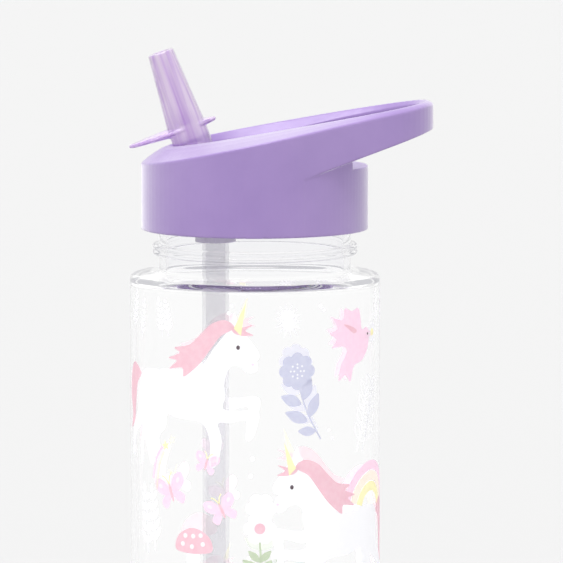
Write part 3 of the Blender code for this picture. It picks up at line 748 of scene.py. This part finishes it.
def glass_profile():
    """Half of the bottle's section, from the axis over the inside and the rim to the foot."""
    outer, rim = (BODY_RADIUS - PRINT_ROOM) / MM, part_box("bottle_body")[1].z / MM
    inner, roof = outer - WALL, SHOULDER_Z - ROOF
    inside, outside = NECK_ROUNDS
    profile = [(0, FLOOR_TOP_Z)] + arc(inner - FOOT_ROUND, FLOOR_TOP_Z + FOOT_ROUND, FOOT_ROUND, -90, 0)
    profile += arc(inner - ROOF_ROUND, roof - ROOF_ROUND, ROOF_ROUND, 0, 90)
    profile += [(NECK_BORE + 2.6, roof + 0.5)]
    profile += arc(NECK_BORE + inside, SHOULDER_Z + 1.1, inside, 270, 180)
    profile += arc(NECK_BORE + RIM_ROUND, rim - RIM_ROUND, RIM_ROUND, 180, 90, 4)
    profile += arc(NECK_RADIUS - RIM_ROUND, rim - RIM_ROUND, RIM_ROUND, 90, 0, 4)
    profile += arc(NECK_RADIUS + BEAD_FILLET, BEAD_Z + BEAD_HALF_HEIGHT, BEAD_FILLET, 180, 250, 3)
    profile += arc(BEAD_RADIUS, BEAD_Z + BEAD_ROUND, BEAD_ROUND, 90, -60)
    profile += arc(BEAD_RADIUS, BEAD_Z - BEAD_ROUND, BEAD_ROUND, 60, -90)
    profile += arc(NECK_RADIUS + BEAD_FILLET, BEAD_Z - BEAD_HALF_HEIGHT, BEAD_FILLET, 110, 180, 3)
    profile += arc(NECK_RADIUS + outside, SHOULDER_Z + 1.8, outside, 180, 270)
    profile += [(NECK_RADIUS + 3.0, SHOULDER_Z + 0.35)]
    profile += arc(outer - SHOULDER_ROUND, SHOULDER_Z - SHOULDER_ROUND, SHOULDER_ROUND, 90, 0)
    profile += arc(outer - FOOT_ROUND, FOOT_ROUND, FOOT_ROUND, 0, -90)
    profile += [(FOOT_RING, 0), (FOOT_RING - 0.6, PUSH_UP / 4), (FOOT_RING - 1.4, PUSH_UP * 7 / 8)]
    return profile + [(FOOT_RING - 2.0, PUSH_UP), (0, PUSH_UP)]


def make_glass():
    """The bottle with fine curves: foot, shoulder, neck, bead ring and rim."""
    mesh = turned_mesh("glass", glass_profile())
    neck = clear_plastic("clear_neck", NECK_CLEAR, NECK_SHADE, roughness=0.015)
    shoulder = clear_plastic("clear_shoulder", WALL_CLEAR, NECK_SHADE, painted_glow=SHOULDER_PAINTED_GLOW)
    wall = clear_plastic("clear_wall", WALL_CLEAR, WALL_SHADE, painted_glow=WALL_PAINTED_GLOW)
    add_piece("glass_bottle", mesh, "bottle", "clear_plastic", neck, "bottle_body")
    mesh.materials.append(shoulder)
    mesh.materials.append(wall)
    below, above = SHOULDER_SPAN
    for face in mesh.polygons:
        if face.center.z < (SHOULDER_Z - below) * MM:
            face.material_index = 2
        elif face.center.z < (SHOULDER_Z + above) * MM:
            face.material_index = 1


def thread_section(tip, z):
    """A rounded trapezium from the neck out to the crest."""
    root = NECK_RADIUS + THREAD_GAP
    upper = [(tip, 0.3), (tip - 0.2, 0.5), (root, 0.9)]
    return [(r, z - half) for r, half in reversed(upper)] + [(r, z + half) for r, half in upper]


def make_thread():
    """The raised screw thread round the neck, faded out at both ends."""
    steps = round(THREAD_TURNS * THREAD_STEPS)
    fade = THREAD_STEPS / 8  # an eighth of a turn
    rings = []
    for i in range(steps + 1):
        angle = 2 * math.pi * i / THREAD_STEPS
        height = min(1.0, THREAD_END_HEIGHT + min(i, steps - i) / fade)
        tip = NECK_RADIUS + (THREAD_CREST - NECK_RADIUS) * height
        section = thread_section(tip, THREAD_Z + THREAD_LEAD * i / THREAD_STEPS)
        rings.append([(r * MM * math.cos(angle), r * MM * math.sin(angle), z * MM) for r, z in section])
    bm = bmesh.new()
    loft_into(bm, rings)
    mat = clear_plastic("clear_thread", NECK_CLEAR, NECK_SHADE)
    add_piece("neck_thread", mesh_from(bm, "thread"), "bottle", "clear_plastic", mat)


def soften(obj, voxel, rounds):
    """Rounds every edge a little, as a mould does."""
    remesh = obj.modifiers.new("remesh", "REMESH")
    remesh.mode = "VOXEL"
    remesh.voxel_size = voxel
    remesh.use_smooth_shade = True
    relax = obj.modifiers.new("relax", "SMOOTH")
    relax.factor = 0.5
    relax.iterations = rounds


def make_lid():
    """The CAD lid with its handle, its edges rounded."""
    mesh = NODES["lid_shell"].data.copy()
    mat = satin_plastic("lid_satin", PURPLE, PURPLE_DEEP)
    lid = add_piece("lid_and_handle", mesh, "lid", "lid_plastic", mat, "lid_shell")
    soften(lid, LID_CELL, LID_ROUNDS)


def superoval(a, b, z, power=2.6, shift=0.0, steps=40):
    """A level oval with squarish corners, from half widths in mm."""
    points = []
    for i in range(steps):
        t = 2 * math.pi * i / steps
        c, s = math.cos(t), math.sin(t)
        x = math.copysign(abs(c) ** (2 / power), c) * a + shift
        y = math.copysign(abs(s) ** (2 / power), s) * b
        points.append((x * MM, y * MM, z * MM))
    return points


def loft_into(bm, rings):
    """Adds a closed solid through rings of points."""
    loops = [[bm.verts.new(p) for p in ring] for ring in rings]
    bm.faces.new(loops[0])
    bm.faces.new(loops[-1])
    for one, other in zip(loops, loops[1:]):
        for i in range(len(one)):
            j = (i + 1) % len(one)
            bm.faces.new((one[i], one[j], other[j], other[i]))


def crossbar(radius, half):
    """Rings of a cylinder along Y, with close pairs at its ends to keep them flat."""
    rings = []
    for y in (-half, -half + 0.01, half - 0.01, half):
        angles = [2 * math.pi * i / BARREL_STEPS for i in range(BARREL_STEPS)]
        rings.append([(radius * MM * math.cos(a), y * MM, radius * MM * math.sin(a)) for a in angles])
    return rings


def make_spout():
    """The drinking tube with its barrel, trunnions and a thumb tab that thins to its edge."""
    tube = [superoval(a, b, z, TUBE_POWER, shift) for a, b, z, shift in TUBE_OUTSIDE]
    tube += [superoval(a, b, z) for a, b, z in TUBE_INSIDE]
    tab = []
    for share, z in TAB_EDGE:
        a, b = (half * share for half in TAB_HALF_WIDTHS)
        tab.append(superoval(a, b, TAB_Z + z, TAB_POWER, TAB_SHIFT * share))
    bm = bmesh.new()
    for rings in (tube, tab, crossbar(*BARREL), crossbar(*TRUNNIONS)):
        loft_into(bm, rings)
    lean = Matrix.Rotation(-SPOUT_LEAN, 4, "Y")
    bmesh.ops.transform(bm, matrix=Matrix.Translation(PIVOT) @ lean, verts=bm.verts)
    mat = translucent_plastic("spout_violet", SPOUT_VIOLET, SPOUT_DEEP)
    mesh = mesh_from(bm, "spout_fine")
    spout = add_piece("drinking_spout", mesh, "spout", "spout_plastic", mat, "spout")
    soften(spout, SPOUT_CELL, SPOUT_ROUNDS)


def make_straw():
    """A thin tube with a rounded top, cut at a slant below."""
    low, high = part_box("straw")
    centre, top, base = (low.x + high.x) / 2, high.z / MM, low.z / MM
    outer = (high.x - low.x) / 2 / MM
    inner = outer - STRAW_WALL
    cut = base + STRAW_SLOPE * outer
    profile = [(inner, top), (inner + 0.3, top + 0.1), (outer - 0.2, top), (outer, top - 0.3)]
    profile += [(outer, cut), (inner, cut)]
    mesh = turned_mesh("straw_fine", profile, centre, STRAW_STEPS, closed=True)
    for vert in mesh.vertices:
        if vert.co.z < (cut + 1) * MM:
            vert.co.z += STRAW_SLOPE * (vert.co.x - centre)
    mat = cloudy_tube("straw_cloudy", STRAW_GREY)
    add_piece("clear_straw", mesh, "lid", "clear_plastic", mat, "straw")


def dress_nodes():
    """Finishes for the nodes that keep their CAD shape."""
    dress("straw_socket", satin_plastic("socket_satin", SOCKET_LILAC, SOCKET_DEEP))
    seal = silicone("silicone")
    for node in ("spout_seal", "vent_valve", "lid_gasket"):
        dress(node, seal)


# ---------------------------------------------------------------- stage


def make_floor():
    mesh = bpy.data.meshes.new("floor")
    corners = [(x * FLOOR_HALF, y * FLOOR_HALF, 0) for x, y in ((-1, -1), (1, -1), (1, 1), (-1, 1))]
    mesh.from_pydata(corners, [], [(0, 1, 2, 3)])
    floor = bpy.data.objects.new("floor", mesh)
    bpy.context.scene.collection.objects.link(floor)
    mat, _, _ = material("floor", Base_Color=FLOOR, Roughness=0.9, Specular_IOR_Level=0.1)
    mesh.materials.append(mat)


def soft_sun(name, direction, power, spread):
    """A broad, even light that shines along a direction; spread is in degrees."""
    data = bpy.data.lights.new(name, "SUN")
    data.energy = power
    data.angle = math.radians(spread)
    sun = bpy.data.objects.new(name, data)
    sun.rotation_euler = Vector(direction).to_track_quat("-Z", "Y").to_euler()
    bpy.context.scene.collection.objects.link(sun)


def make_light():
    """An even white surround and broad suns."""
    world = bpy.data.worlds.new("studio")
    bpy.context.scene.world = world
    world.use_nodes = True
    sky = world.node_tree.nodes["Background"]
    sky.inputs["Color"].default_value = (1.0, 1.0, 1.0, 1.0)
    sky.inputs["Strength"].default_value = SKY
    for name, direction, power, spread in SUNS:
        soft_sun(name, direction, power, spread)


def make_camera():
    """A long lens a little above the bottle, framed on the lid and the upper body."""
    data = bpy.data.cameras.new("camera")
    data.lens = CAMERA_LENS
    data.sensor_width = SENSOR_WIDTH
    data.clip_start = 0.05
    data.clip_end = 100
    camera = bpy.data.objects.new("camera", data)
    back = Vector((0, -math.cos(CAMERA_ELEVATION), math.sin(CAMERA_ELEVATION)))
    camera.location = CAMERA_TARGET + back * CAMERA_DISTANCE
    camera.rotation_euler = (-back).to_track_quat("-Z", "Y").to_euler()
    bpy.context.scene.collection.objects.link(camera)
    bpy.context.scene.camera = camera


bpy.context.scene.view_settings.view_transform = "Standard"
make_glass()
make_thread()
make_lid()
make_spout()
make_straw()
dress_nodes()
make_print()
make_floor()
make_light()
make_camera()
